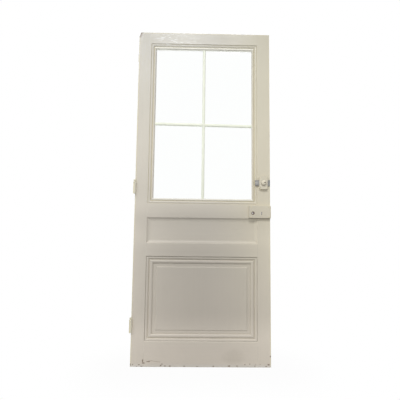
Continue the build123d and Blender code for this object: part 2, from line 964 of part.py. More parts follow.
# The hinges, the top one without its knuckle
save(hinge(bottom_hinge_height), "hinge_bottom")
save(hinge(middle_hinge_height), "hinge_middle")
save(broken_hinge(top_hinge_height), "hinge_top")

# The rim lock
save(lock_case(), "lock_case")
save(lock_cover(), "lock_cover")
save(lock_forend(), "lock_forend")
save(latch(), "lock_latch")
save(bolt_head(deadbolt_rise, deadbolt_length, deadbolt_height), "lock_deadbolt")
save(lock_follower(), "lock_follower")

# The rim bolt
save(bolt_plate(), "bolt_plate")
save(bolt_housing(), "bolt_housing")
save(bolt_bar(), "bolt_bar")
save(bolt_knob(), "bolt_knob")
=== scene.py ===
from math import pi, radians

import bmesh
import bpy
from mathutils import Matrix, Vector


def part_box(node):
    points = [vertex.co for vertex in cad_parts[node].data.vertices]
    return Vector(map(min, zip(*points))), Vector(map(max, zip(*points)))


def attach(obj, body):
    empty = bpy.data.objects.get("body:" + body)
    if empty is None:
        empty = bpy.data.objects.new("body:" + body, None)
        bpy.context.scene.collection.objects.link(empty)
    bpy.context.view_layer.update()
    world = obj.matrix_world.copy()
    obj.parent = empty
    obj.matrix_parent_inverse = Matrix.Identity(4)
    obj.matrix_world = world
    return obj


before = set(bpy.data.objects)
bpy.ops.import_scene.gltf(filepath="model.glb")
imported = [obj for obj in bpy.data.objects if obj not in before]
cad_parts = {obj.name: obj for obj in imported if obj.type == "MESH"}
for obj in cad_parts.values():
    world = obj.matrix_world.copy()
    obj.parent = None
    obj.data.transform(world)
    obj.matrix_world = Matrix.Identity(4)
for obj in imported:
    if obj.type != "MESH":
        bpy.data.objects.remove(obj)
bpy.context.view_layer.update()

# Where the leaf and its fittings lie in the frame, in metres
hinge_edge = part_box("hinge_stile")[0].x
lock_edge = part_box("lock_stile")[1].x
leaf_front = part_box("hinge_stile")[0].y
leaf_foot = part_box("hinge_stile")[0].z
leaf_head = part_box("lock_stile")[1].z
leaf_width = lock_edge - hinge_edge
leaf_height = leaf_head - leaf_foot
leaf_middle = (hinge_edge + lock_edge) / 2
window_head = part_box("top_rail")[0].z
window_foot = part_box("lock_rail")[1].z
lock_low, lock_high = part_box("lock_case")
knob_low, knob_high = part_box("bolt_knob")
housing_low, housing_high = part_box("bolt_housing")

# How far the rails' shoulders are from the leaf's edges
stile_flat = 0.081

# Axes and directions of the frame
x_axis = 0
y_axis = 1
z_axis = 2
to_front = (0, -1, 0)
to_hinges = (-1, 0, 0)
to_lock = (1, 0, 0)
mm_per_metre = 1000

# Camera, matched to the photograph's view of the leaf's four corners
camera_place = Vector((0.397, -1.936, 0.681))
camera_yaw = radians(-0.83)
camera_pitch = radians(4.574)
camera_roll = radians(0.71)
level_look = radians(90)
lens_mm = 27
sensor_mm = 36

# Soft lamps: name, place, width and height, power
light_aim = Vector((leaf_middle, leaf_front, 1.0))
lamps = [
    ("key", (0.1, -3.95, 5.0), (2.6, 1.3), 144),
    ("side", (-2.8, -3.2, 3.1), (3.0, 3.0), 52),
    ("back", (0.44, 3.4, 0.35), (2.6, 1.2), 55),
]

# How strongly the room lights the leaf
fill_level = 0.42
white = (1, 1, 1)

# Floor: how far it reaches and how far it lies below the leaf, in metres, and its shade
floor_reach = 14
floor_drop = 0.0005
floor_shade = 0.6

# How white the floor shows right beside the leaf, and between which distances it grows full white
floor_glow = 0.96
floor_glow_from = 0.02
floor_glow_to = 0.45

# Paint, in linear colour, with the colours of painted light and painted highlights
paint_head = (0.665, 0.640, 0.560)
paint_foot = (0.696, 0.631, 0.547)
paint_shade = (0.52, 0.48, 0.41)
paint_yellow = (0.72, 0.66, 0.46)
paint_worn_and_lit = (0.82, 0.79, 0.70)
paint_white = (0.67, 0.65, 0.61)
painted_light_colour = (0.88, 0.86, 0.77)
paint_bars_lit = (0.91, 0.94, 0.80)
painted_highlight_colour = (0.92, 0.93, 0.90)

# What shows where the paint is lost or dirty, and the dark colours of dirt with painted shade
wood_light = (0.19, 0.10, 0.045)
wood_dark = (0.095, 0.05, 0.0225)
rust_colour = (0.14, 0.060, 0.028)
grime_and_shade_colour = (0.27, 0.235, 0.17)
dirt_and_shade_colour = (0.10, 0.085, 0.055)
dent_shade_colour = (0.10, 0.08, 0.055)
wood_roughness = 0.85
rust_roughness = 0.8
dent_roughness = 0.7

# Bare metal
steel_dark = (0.26, 0.258, 0.25)
steel_light = (0.42, 0.412, 0.395)
steel_stain = (0.16, 0.13, 0.11)
steel_edge = (0.12, 0.10, 0.08)
steel_edge_strength = 0.6
steel_nose_shade = (0.12, 0.13, 0.11)
brown_dark = (0.05, 0.03, 0.02)
brown_light = (0.16, 0.095, 0.055)
hole_shade_colour = (0.012, 0.009, 0.006)
brown_roughness = 0.6

# Glass, as it shows and as it lets light through
glass_tint = (0.985, 0.995, 0.99)
glass_clear = (0.95, 0.97, 0.96)
glass_roughness = 0.01

# Painted shade: how bright the paint is painted up the middle of the leaf, and how much lighter it is
# painted at both edges, as (height, number) stops from foot to head
painted_shade_in_middle = [
    (0, 0.96),
    (0.07, 0.94),
    (0.16, 0.77),
    (0.32, 0.74),
    (0.37, 0.82),
    (0.42, 0.79),
    (0.47, 0.95),
    (0.65, 1.03),
    (0.85, 0.96),
    (1, 0.84),
]
painted_light_to_edges = [(0, 0.13), (0.1, 0.21), (0.33, 0.28), (0.42, 0.21), (0.5, 0.08), (0.7, 0.03), (1, 0)]

# How far the middle of the painted shade lies to the hinge side of the leaf's middle
painted_shade_shift = 0.03

# How much dirt and painted shade lie in the hollows, from foot to head
grime_and_shade_by_height = [(0, 1), (0.40, 1), (0.44, 0.85), (0.48, 0.25), (0.56, 0.1), (1, 0.05)]

# How much the fine relief counts beside the wide one, in the paint on wood and on iron
fine_stroke_share = 0.4
fine_grain_share = 0.3

# Distances within which hollows count, in metres
wood_hollow = 0.010
iron_hollow = 0.006
iron_bore = 0.03

# How well a rounded direction matches the true one on flat faces, and on edges where the wear or painted
# highlight is full
flat_match = 0.998
usual_match = 0.92

# Edges worn pale and given a painted highlight: the radius in metres, and the match at which it is full
plain_edge = (0.002, usual_match)
soft_edge = (0.003, 0.985)

# Radii within which metal edges are worn, in metres
iron_edge_radius = 0.0012
steel_edge_radius = 0.0015

# Painted light: heights between which the paint over and under the window is painted bright
painted_light_over_window = (window_head + 0.022, window_head + 0.014)
painted_light_under_window = (window_foot - 0.016, window_foot - 0.009)

# Painted light on the hinges: where their paint is painted bright, from and to, in metres across
knuckle_painted_light = (-0.002, 0.006)

# Chips in the paint of the front, as places on the leaf in millimetres:
# across from the hinge edge, height above the foot, half width, half height
foot_chips = [
    (1, 15, 3, 6),
    (17, 15, 3, 2.2),
    (40, 1, 5, 2),
    (55, 12, 5, 2.2),
    (72, 3, 5, 2.4),
    (78, 36, 2.8, 11),
    (84, 23, 8, 2.8),
    (112, 31, 10, 2.6),
    (126, 36, 14, 0.8),
    (153, 34, 12, 0.8),
    (177, 30, 9, 0.8),
    (192, 9, 4, 3.2),
    (199, 16, 3.4, 3),
    (217, 5, 4, 3),
    (247, 5, 4, 3),
    (336, 5, 4, 3),
    (417, 4, 4, 2.6),
    (518, 5, 4, 2.8),
    (615, 8, 6, 3.6),
    (666, 8, 5, 2.6),
    (716, 17, 2.6, 2),
    (747, 20, 3, 2.2),
    (778, 8, 3, 2.2),
    (784, 18, 2.8, 2),
    (811, 17, 3, 2.2),
    (848, 6, 5, 2.4),
    (865, 17, 6, 5),
    (877, 66, 4, 4),
]
chip_strength = 0.75

# The soft dark spot on the bottom rail, in the same millimetres
smudge_centre = (645, 64)
smudge_half = (78, 46)
smudge_strength = 0.13

# The painted highlight streaks of the top rail: their middle across, and where they end and are full beside
# it
highlight_middle = 245
highlight_end = 190
highlight_full = 40

# The broken corner, in metres: how far it reaches across and down, how far its outline wavers,
# the bare rim and the faint rim beside it from outside to full, and the limits of it all
corner_across = 0.0125
corner_down = 0.029
corner_waver = 0.002
bare_rim = (0.006, 0.003)
faint_rim = (0.017, 0.010)
faint_rim_strength = 0.3
corner_limit_across = 0.03
corner_limit_down = 0.034

# The line of dirt and painted shadow under the lock, in metres below its foot, and how far it starts beside
# it
dirt_shadow_start = (-0.001, 0.0)
dirt_shadow_end = (0.004, 0.002)
dirt_shadow_beside = 0.001
dirt_shadow_strength = 0.8

# The crack where a rail meets a stile, in metres from the joint
crack_reach = (0.0022, 0.0008)
crack_strength = 0.4

# The yellow edge of the leaf: where it ends and is full, and how far it wavers, in metres
yellow_reach = (0.005, -0.004)
yellow_waver = 0.008
yellow_edge_strength = 0.9
yellow_side_strength = 0.4

# The dent in the knob's face, painted as a dark patch of shade, in metres: how far it lies off the knob's
# middle, and its half size
dent_off = (0.006, 0.0006)
dent_half = (0.0062, 0.0022)

# Where the nose of the steel bolts is painted dark as painted shade, in metres inside the leaf's edge
nose_start = 0.014
nose_full = 0.004

# Screw heads, in metres: radius, rise over the face, width and depth of the slot
lock_screw_size = (0.0045, 0.0014, 0.0011, 0.0010)
bolt_screw_size = (0.0032, 0.0010, 0.0008, 0.0007)
flap_screw_size = (0.0042, 0.0005, 0.0010, 0.0009)
forend_screw_size = (0.0040, 0.0002, 0.0010, 0.0008)

# A screw head's outline, as shares of its radius and its rise
screw_outline = [(0, 1), (0.5, 0.94), (0.82, 0.66), (1, 0.1), (1, -0.4)]
screw_sides = 32
weld_distance = 1e-6
least_slope = 0.05

# Where the screws sit on what they hold, in metres: from its sides and ends, off its middle,
# behind the leaf's front, or up from a hinge's foot
lock_screw_from_left = 0.0135
lock_screw_from_right = 0.010
lock_screw_from_top = 0.007
bolt_screw_off_middle = (0.020, 0.031)
flap_screw_depth = 0.018
flap_screw_rise = 0.070
flap_screw_step = Vector((0, 0.004, 0.050))
forend_screw_depth = 0.010
forend_screw_from_end = 0.010

# How the slots are turned, in degrees
lock_screw_turns = (40, 100, 15, 160)
bolt_screw_turns = (70, 140, 20, 95)
flap_screw_turns = {
    "hinge_bottom": (30, 75, 150),
    "hinge_middle": (110, 10, 60),
    "hinge_top": (85, 170, 35),
}
forend_screw_turns = (55, 120)

# Sockets of a Mix node that is set to colours
mix_share = 0
mix_first = 6
mix_second = 7
mix_result = 2


def add_camera():
    """The camera at the photograph's place and angle."""
    data = bpy.data.cameras.new("camera")
    data.lens = lens_mm
    data.sensor_width = sensor_mm
    camera = bpy.data.objects.new("camera", data)
    turn = Matrix.Rotation(camera_yaw, 4, "Z") @ Matrix.Rotation(level_look + camera_pitch, 4, "X")
    camera.matrix_world = Matrix.Translation(camera_place) @ turn @ Matrix.Rotation(camera_roll, 4, "Z")
    bpy.context.scene.collection.objects.link(camera)
    bpy.context.scene.camera = camera


class Nodes:
    """A node tree with short ways to add and join nodes."""

    def __init__(self, tree):
        self.tree = tree

    def add(self, kind, inputs=None, **settings):
        """A new node. Each input is a value, or the output of another node."""
        node = self.tree.nodes.new(kind)
        for name, value in settings.items():
            setattr(node, name, value)
        for name, value in (inputs or {}).items():
            self.feed(node.inputs[name], value)
        return node

    def feed(self, socket, value):
        """Sets a socket, or links an output to it."""
        if isinstance(value, bpy.types.NodeSocket):
            self.tree.links.new(value, socket)
        elif isinstance(value, (tuple, list)) and socket.type == "RGBA":
            socket.default_value = (*value, 1)[:4]
        else:
            socket.default_value = value

    def maths(self, operation, first, second=0.0):
        """The result of one sum."""
        return self.add("ShaderNodeMath", {0: first, 1: second}, operation=operation).outputs[0]

    def plus(self, first, second):
        """The sum of two values."""
        return self.maths("ADD", first, second)

    def minus(self, first, second):
        """A value less another."""
        return self.maths("SUBTRACT", first, second)

    def times(self, first, second):
        """The product of two values."""
        return self.maths("MULTIPLY", first, second)

    def over(self, first, second):
        """A value divided by another."""
        return self.maths("DIVIDE", first, second)

    def square(self, value):
        """A value times itself."""
        return self.maths("POWER", value, 2)

    def larger(self, first, second):
        """The larger of two values."""
        return self.maths("MAXIMUM", first, second)

    def off(self, value, middle):
        """How far a value is from a middle, on either side."""
        return self.maths("ABSOLUTE", self.minus(value, middle))

    def mix(self, share, first, second):
        """A colour between two colours."""
        node = self.add("ShaderNodeMix", data_type="RGBA")
        self.feed(node.inputs[mix_share], share)
        self.feed(node.inputs[mix_first], first)
        self.feed(node.inputs[mix_second], second)
        return node.outputs[mix_result]

    def blend(self, share, first, second):
        """A shader between two shaders."""
        return self.add("ShaderNodeMixShader", {0: share, 1: first, 2: second}).outputs[0]

    def span(self, value, low, high, start=0.0, end=1.0, eased=True):
        """Where a value lies between low and high, as a number from start to end."""
        inputs = {"Value": value, "From Min": low, "From Max": high, "To Min": start, "To Max": end}
        kind = "SMOOTHSTEP" if eased else "LINEAR"
        return self.add("ShaderNodeMapRange", inputs, interpolation_type=kind).outputs[0]

    def ramp(self, value, stops):
        """A number that follows a value through (place, number) stops, which start at 0 and end at 1."""
        node = self.add("ShaderNodeValToRGB", {"Fac": value})
        node.color_ramp.interpolation = "EASE"
        marks = node.color_ramp.elements
        for place, _ in stops[1:-1]:
            marks.new(place)
        for mark, (_, number) in zip(marks, stops):
            mark.color = (number, number, number, 1)
        return self.add("ShaderNodeSeparateColor", {0: node.outputs[0]}).outputs[0]

    def point(self):
        """The point on the surface, in metres: the frame's on CAD nodes, and its own on a screw."""
        return self.add("ShaderNodeTexCoord").outputs["Object"]

    def axes(self):
        """The three coordinates of the point on the surface."""
        return self.add("ShaderNodeSeparateXYZ", {0: self.point()}).outputs

    def height(self):
        """The height of the point, from 0 at the leaf's foot to 1 at its head."""
        return self.over(self.minus(self.axes()[z_axis], leaf_foot), leaf_height)

    def leaf_place(self):
        """Distance from the hinge edge and height above the foot, in millimetres."""
        x, _, z = self.axes()
        across = self.times(self.minus(x, hinge_edge), mm_per_metre)
        up = self.times(self.minus(z, leaf_foot), mm_per_metre)
        return across, up

    def noise(self, scale, detail=3.0, roughness=0.5, stretch=(1, 1, 1), offset=(0, 0, 0)):
        """Cloudy noise, from 0 to 1."""
        place = self.add("ShaderNodeMapping", {"Vector": self.point(), "Scale": stretch, "Location": offset})
        inputs = {"Vector": place.outputs[0], "Scale": scale, "Detail": detail, "Roughness": roughness}
        return self.add("ShaderNodeTexNoise", inputs).outputs["Fac"]

    def waver(self, reach, scale, offset, detail=3.0, spread=0.25):
        """Noise from minus to plus a reach, which makes an outline ragged."""
        clouds = self.noise(scale, detail=detail, offset=offset)
        return self.span(clouds, low=0.5 - spread, high=0.5 + spread, start=-reach, end=reach)

    def patch(self, places, centre, half, waver=0.0, softness=0.1):
        """From 0 outside to 1 inside an oblong, given by its centre and half its size."""
        offsets = []
        for place, middle, reach in zip(places, centre, half):
            offsets.append(self.over(self.off(place, middle), reach))
        outline = self.plus(self.larger(*offsets), waver)
        return self.span(outline, low=1 + softness, high=1 - softness)

    def facing(self):
        """The three parts of the surface's own direction."""
        normal = self.add("ShaderNodeNewGeometry").outputs["Normal"]
        return self.add("ShaderNodeSeparateXYZ", {0: normal}).outputs

    def on_front(self, limit=-0.5):
        """1 on faces that look to the front of the leaf, else 0."""
        return self.maths("LESS_THAN", self.facing()[y_axis], limit)

    def rounded(self, radius, samples=4):
        """The surface's direction with its edges rounded, within a radius in metres."""
        return self.add("ShaderNodeBevel", {"Radius": radius}, samples=samples).outputs[0]

    def near_edge(self, radius, full_match=usual_match):
        """From 0 on flat faces to 1 on edges, within a radius in metres."""
        normal = self.add("ShaderNodeNewGeometry").outputs["Normal"]
        directions = {0: self.rounded(radius, samples=6), 1: normal}
        match = self.add("ShaderNodeVectorMath", directions, operation="DOT_PRODUCT").outputs["Value"]
        return self.span(match, low=flat_match, high=full_match)

    def open_sky(self, distance, own_only, samples=8):
        """From 0 deep in hollows to 1 in the open, within a distance in metres."""
        node = self.add(
            "ShaderNodeAmbientOcclusion",
            {"Distance": distance},
            samples=samples,
            only_local=own_only,
        )
        return node.outputs["AO"]

    def bump(self, relief, strength, distance, rounding=0.0):
        """The surface's direction with a fine relief, and with its edges rounded where a radius is given."""
        inputs = {"Height": relief, "Strength": strength, "Distance": distance}
        if rounding:
            inputs["Normal"] = self.rounded(rounding)
        return self.add("ShaderNodeBump", inputs).outputs[0]

    def surface(self, colour, roughness, normal, others=None):
        """A shader for a surface, with the values of its other sockets by their names."""
        inputs = {"Base Color": colour, "Roughness": roughness, "Normal": normal, **(others or {})}
        return self.add("ShaderNodeBsdfPrincipled", inputs).outputs[0]


def empty_nodes(owner):
    """The builder of the nodes of a material or a world, with nothing in it yet."""
    owner.use_nodes = True
    owner.node_tree.nodes.clear()
    return Nodes(owner.node_tree)


def new_material(name):
    """An empty material and the builder of its nodes."""
    material = bpy.data.materials.new(name)
    return material, empty_nodes(material)


def finish_material(nodes, shader):
    """Joins the last shader to the material's output."""
    nodes.add("ShaderNodeOutputMaterial", {"Surface": shader})


def add_lamp(name, place, size, power):
    """A soft oblong lamp that looks at the leaf and doesn't show itself."""
    lamp = bpy.data.lights.new(name, "AREA")
    lamp.shape = "RECTANGLE"
    lamp.size, lamp.size_y = size
    lamp.energy = power
    stand = bpy.data.objects.new(name, lamp)
    stand.location = place
    stand.visible_camera = False
    stand.visible_transmission = False
    stand.rotation_euler = (light_aim - Vector(place)).to_track_quat("-Z", "Y").to_euler()
    bpy.context.scene.collection.objects.link(stand)


def seen_rays(nodes):
    """1 for what is seen, straight or in gloss or through glass, and 0 for light that falls on things."""
    path = nodes.add("ShaderNodeLightPath").outputs
    seen = nodes.larger(path["Is Camera Ray"], path["Is Transmission Ray"])
    return nodes.larger(seen, path["Is Glossy Ray"])


def add_room():
    """A room that shows white and gives plain soft light."""
    world = bpy.data.worlds.new("room")
    nodes = empty_nodes(world)
    level = nodes.span(seen_rays(nodes), low=0, high=1, start=fill_level, end=1.0)
    background = nodes.add("ShaderNodeBackground", {"Color": white, "Strength": level})
    nodes.add("ShaderNodeOutputWorld", {"Surface": background.outputs[0]})
    bpy.context.scene.world = world


def floor_material():
    """A matte floor that shows nearly white, and keeps the leaf's shadow."""
    material, nodes = new_material("floor")
    x, y, _ = nodes.axes()
    beside = nodes.larger(nodes.minus(nodes.off(x, leaf_middle), leaf_width / 2), 0)
    away = nodes.maths("SQRT", nodes.plus(nodes.square(beside), nodes.square(y)))
    glow_share = nodes.span(away, low=floor_glow_from, high=floor_glow_to, start=floor_glow, end=1)
    share = nodes.times(seen_rays(nodes), glow_share)
    matte = nodes.add("ShaderNodeBsdfDiffuse", {"Color": (floor_shade,) * 3}).outputs[0]
    glow = nodes.add("ShaderNodeEmission", {"Color": white, "Strength": 1.0}).outputs[0]
    finish_material(nodes, nodes.blend(share, matte, glow))
    return material


def add_floor():
    """A pale floor right under the leaf."""
    low = -floor_reach
    high = floor_reach
    corners = [(low, low), (high, low), (high, high), (low, high)]
    mesh = bpy.data.meshes.new("floor")
    mesh.from_pydata([(x, y, leaf_foot - floor_drop) for x, y in corners], [], [(0, 1, 2, 3)])
    mesh.materials.append(floor_material())
    floor = bpy.data.objects.new("floor", mesh)
    bpy.context.scene.collection.objects.link(floor)


def brushed(along, share):
    """The stretch of a noise whose streaks run along one axis: a smaller share makes them longer."""
    stretch = [1, 1, 1]
    stretch[along] = share
    return stretch


def foot_wear(nodes):
    """Where the paint of the front is chipped to the wood near the foot."""
    places = nodes.leaf_place()
    waver = nodes.waver(reach=0.5, scale=180, offset=(5, 2, 1))
    chips = 0
    for chip in foot_chips:
        chips = nodes.larger(chips, nodes.patch(places, chip[:2], chip[2:], waver))
    return nodes.times(chips, nodes.on_front())


def corner_break(nodes):
    """The bare wood of the broken corner, and the paint lost along its edge."""
    x, _, z = nodes.axes()
    down = nodes.minus(leaf_head, z)
    break_edge = nodes.span(down, low=0.0, high=corner_down, start=corner_across, end=0.0, eased=False)
    past = nodes.minus(nodes.minus(x, hinge_edge), break_edge)
    past = nodes.plus(past, nodes.waver(reach=corner_waver, scale=220, offset=(1, 7, 4)))
    rim = nodes.larger(nodes.span(past, *bare_rim), nodes.span(past, *faint_rim, end=faint_rim_strength))
    facing = nodes.facing()
    slope = nodes.span(nodes.times(facing[x_axis], facing[z_axis]), low=-0.02, high=-0.06)
    bare = nodes.larger(rim, slope)
    high = nodes.maths("LESS_THAN", down, corner_limit_down)
    near = nodes.maths("LESS_THAN", x, hinge_edge + corner_limit_across)
    return nodes.times(bare, nodes.times(high, near))


def bare_wood(nodes, along):
    """Old brown softwood with its grain."""
    grain = nodes.noise(scale=420, detail=4, stretch=brushed(along, share=0.06), offset=(2, 4, 1))
    return nodes.mix(nodes.span(grain, low=0.3, high=0.7), wood_light, wood_dark)


def smudge(nodes):
    """A soft dark spot on the bottom rail."""
    offsets = []
    for place, middle, reach in zip(nodes.leaf_place(), smudge_centre, smudge_half):
        offsets.append(nodes.square(nodes.over(nodes.minus(place, middle), reach)))
    away = nodes.plus(*offsets)
    away = nodes.plus(away, nodes.waver(reach=0.25, scale=20, offset=(8, 3, 2), detail=4, spread=0.2))
    return nodes.times(nodes.span(away, low=1.3, high=0.0, end=smudge_strength), nodes.on_front())


def lock_dirt_and_shadow(nodes):
    """The line of dirt and painted shadow right under the lock."""
    x, _, z = nodes.axes()
    under = nodes.minus(lock_low.z, z)
    line = nodes.times(nodes.span(under, *dirt_shadow_start), nodes.span(under, *dirt_shadow_end))
    beside = nodes.maths("GREATER_THAN", x, lock_low.x - dirt_shadow_beside)
    return nodes.times(nodes.times(line, dirt_shadow_strength), nodes.times(beside, nodes.on_front()))


def joint_crack(nodes):
    """The fine crack in the paint where a rail meets the stiles."""
    off_middle = nodes.off(nodes.axes()[x_axis], leaf_middle)
    off_joint = nodes.off(off_middle, leaf_width / 2 - stile_flat)
    broken = nodes.span(nodes.noise(scale=9, offset=(4, 4, 9)), low=0.4, high=0.55)
    return nodes.times(nodes.span(off_joint, *crack_reach, end=crack_strength), broken)


def yellowing(nodes):
    """How yellow the paint is: more on the lock side, most along the leaf's outer edges."""
    x, _, z = nodes.axes()
    side = nodes.span(x, low=leaf_middle, high=lock_edge, end=yellow_side_strength)
    side = nodes.times(side, nodes.span(nodes.height(), low=0.0, high=0.5, start=0.15))
    to_edge = nodes.minus(leaf_width / 2, nodes.off(x, leaf_middle))
    to_edge = nodes.maths("MINIMUM", to_edge, nodes.minus(leaf_head, z))
    waver = nodes.times(nodes.noise(scale=14, offset=(6, 1, 3)), yellow_waver)
    edge = nodes.span(nodes.minus(to_edge, waver), *yellow_reach, end=yellow_edge_strength)
    return nodes.larger(side, edge)


def whitening(nodes, along):
    """Where the gloss paint is pale and streaky: the top of the hinge side, and the very foot."""
    streaks = nodes.noise(scale=130, detail=4, stretch=brushed(along, share=0.2), offset=(9, 9, 1))
    streaks = nodes.span(streaks, low=0.42, high=0.66, start=0.1, end=0.8)
    to_hinge_side = nodes.span(nodes.axes()[x_axis], low=lock_edge, high=hinge_edge)
    high = nodes.times(nodes.span(nodes.height(), low=0.72, high=1.0), to_hinge_side)
    foot = nodes.span(nodes.height(), low=0.012, high=0.002, end=0.5)
    return nodes.larger(nodes.times(high, streaks), foot)


def painted_gloss_highlights(nodes):
    """Painted highlight: where the light catches the brushed gloss of the top rail."""
    across, _ = nodes.leaf_place()
    streaks = nodes.noise(scale=150, detail=4, stretch=brushed(x_axis, share=0.3), offset=(3, 8, 6))
    patches = nodes.span(nodes.noise(scale=16, offset=(1, 1, 8)), low=0.35, high=0.6, start=0.3)
    spots = nodes.times(nodes.span(streaks, low=0.48, high=0.68), patches)
    beside = nodes.span(nodes.off(across, highlight_middle), low=highlight_end, high=highlight_full)
    return nodes.times(nodes.times(spots, beside), nodes.on_front())


def lay_painted_shade(nodes, colour, painted_light_level):
    """Painted shade on a colour, by its place: darker in the middle of the leaf's lower half, lighter toward
    its edges.
    """
    height = nodes.height()
    off_middle = nodes.over(nodes.minus(nodes.axes()[x_axis], leaf_middle - painted_shade_shift), leaf_width / 2)
    rise = nodes.times(nodes.ramp(height, painted_light_to_edges), nodes.square(off_middle))
    scale = nodes.times(nodes.plus(nodes.ramp(height, painted_shade_in_middle), rise), painted_light_level)
    return nodes.add("ShaderNodeVectorMath", {0: colour, "Scale": scale}, operation="SCALE").outputs[0]


def aged_cream(nodes, along, clouds, strokes, sky):
    """The paint's cream, with its clouds, brush strokes, yellowed and whitened places."""
    colour = nodes.mix(nodes.height(), paint_foot, paint_head)
    colour = nodes.mix(nodes.span(clouds, low=0.35, high=0.75, end=0.14), colour, paint_shade)
    colour = nodes.mix(nodes.span(strokes, low=0.3, high=0.8, end=0.08), colour, paint_shade)
    colour = nodes.mix(yellowing(nodes), colour, paint_yellow)
    colour = nodes.mix(whitening(nodes, along), colour, paint_white)
    stain = nodes.span(sky, low=0.97, high=0.75, end=0.55)
    stain = nodes.times(stain, nodes.span(nodes.height(), low=0.38, high=0.5, start=0.25))
    return nodes.mix(stain, colour, paint_yellow)


def grime_shade_and_highlight(nodes, colour, sky, edge):
    """Dirt and painted shade in the hollows, and edges worn pale with a painted highlight."""
    shade_and_grime = nodes.times(nodes.span(sky, low=0.78, high=0.34), nodes.ramp(nodes.height(), grime_and_shade_by_height))
    patchy = nodes.span(nodes.noise(scale=7, offset=(2, 6, 5)), low=0.36, high=0.6, start=0.5)
    colour = nodes.mix(nodes.times(shade_and_grime, patchy), colour, grime_and_shade_colour)
    # Edges worn pale, with a painted highlight where light catches them
    worn_and_lit = nodes.times(nodes.near_edge(*edge), nodes.span(sky, low=0.8, high=0.95, end=0.6))
    return nodes.mix(worn_and_lit, colour, paint_worn_and_lit)


def paint_material(
    name,
    along,
    painted_light_level=1.0,
    own_shade_and_grime=False,
    chipped=False,
    broken=False,
    locked=False,
    painted_light_band=None,
    bar=False,
    streaky=False,
    edge=plain_edge,
):
    """Old cream gloss paint, brushed along one axis, with bare wood where it is lost.

    own_shade_and_grime: its hollows, for dirt and painted shade, are looked for without other pieces.
    chipped: chips at the
    foot, and the smudge. broken: the broken corner. locked: dirt and a painted shadow under the lock. gleam:
    the heights between which it is painted bright, as painted light. bar: the glazing bars' paint, painted
    pale as
    painted light. streaky: painted highlight streaks. edge: how its edges are worn pale and given a painted
    highlight.
    """
    material, nodes = new_material(name)
    stretch = brushed(along, share=0.04)
    strokes = nodes.noise(scale=260, detail=2, stretch=stretch)
    wide_strokes = nodes.noise(scale=60, stretch=stretch, offset=(3, 1, 2))
    clouds = nodes.noise(scale=2.4, detail=5, roughness=0.6)
    sky = nodes.open_sky(wood_hollow, own_only=own_shade_and_grime)

    # The glazing bars' paint is painted pale, as painted light
    colour = paint_bars_lit if bar else aged_cream(nodes, along, clouds, wide_strokes, sky)
    # Painted highlight streaks on the top rail
    if streaky:
        colour = nodes.mix(painted_gloss_highlights(nodes), colour, painted_highlight_colour)
    # Painted shade and light, by the place on the leaf and by the piece
    colour = lay_painted_shade(nodes, colour, painted_light_level)
    # Dirt and painted shade in the hollows, painted highlight on worn edges
    colour = grime_shade_and_highlight(nodes, colour, sky, edge)
    if along == x_axis:
        colour = nodes.mix(joint_crack(nodes), colour, grime_and_shade_colour)
    # Dirt and a painted shadow under the lock
    if locked:
        colour = nodes.mix(lock_dirt_and_shadow(nodes), colour, dirt_and_shade_colour)
    # Painted light: a band of the paint painted bright
    if painted_light_band:
        colour = nodes.mix(nodes.span(nodes.axes()[z_axis], *painted_light_band, end=0.8), colour, painted_light_colour)

    relief = nodes.plus(nodes.times(strokes, fine_stroke_share), wide_strokes)
    roughness = nodes.span(clouds, low=0.3, high=0.7, start=0.32, end=0.44)
    roughness = nodes.plus(roughness, nodes.span(strokes, low=0.3, high=0.7, start=-0.06, end=0.06))

    lost = 0
    if chipped:
        colour = nodes.mix(smudge(nodes), colour, grime_and_shade_colour)
        lost = nodes.times(foot_wear(nodes), chip_strength)
    if broken:
        lost = nodes.larger(lost, corner_break(nodes))
    if chipped or broken:
        colour = nodes.mix(lost, colour, bare_wood(nodes, along))
        relief = nodes.minus(relief, lost)
        roughness = nodes.larger(roughness, nodes.times(lost, wood_roughness))

    normal = nodes.bump(relief, strength=0.5, distance=0.0008, rounding=0.001)
    finish_material(nodes, nodes.surface(colour, roughness, normal, {"Specular IOR Level": 0.35}))
    return material


def iron_paint(nodes, painted_light_level, hinge):
    """The same paint over iron, chipped to rust along the edges, with dirt and painted shade in its hollows
    and bores. A hinge looks for its hollows alone, and its knuckle gets painted light.
    """
    clouds = nodes.noise(scale=30, detail=5, roughness=0.6)
    fine = nodes.noise(scale=420)
    colour = nodes.mix(nodes.height(), paint_foot, paint_head)
    colour = nodes.mix(nodes.span(clouds, low=0.4, high=0.75, end=0.15), colour, paint_shade)
    colour = nodes.mix(yellowing(nodes), colour, paint_yellow)
    colour = lay_painted_shade(nodes, colour, painted_light_level)
    if hinge:
        # Painted light on the shaded side of the knuckle
        colour = nodes.mix(nodes.span(nodes.axes()[x_axis], *knuckle_painted_light, end=0.7), colour, painted_light_colour)
    sky = nodes.open_sky(iron_hollow, own_only=hinge)
    # Dirt and painted shade in the hollows
    colour = nodes.mix(nodes.span(sky, low=0.7, high=0.3, end=0.5), colour, grime_and_shade_colour)
    # Painted shade deep inside bores and the case, with dirt
    bore = nodes.open_sky(iron_bore, own_only=hinge, samples=6)
    colour = nodes.mix(nodes.span(bore, low=0.32, high=0.12), colour, dirt_and_shade_colour)
    spots = nodes.span(nodes.noise(scale=75, detail=4), low=0.56, high=0.64)
    wear = nodes.times(nodes.near_edge(iron_edge_radius), spots)
    colour = nodes.mix(wear, colour, rust_colour)

    relief = nodes.minus(nodes.plus(nodes.times(fine, fine_grain_share), clouds), wear)
    roughness = nodes.span(clouds, low=0.3, high=0.7, start=0.38, end=0.5)
    roughness = nodes.larger(roughness, nodes.times(wear, rust_roughness))
    normal = nodes.bump(relief, strength=0.4, distance=0.0005, rounding=0.0008)
    return nodes.surface(colour, roughness, normal, {"Specular IOR Level": 0.4})


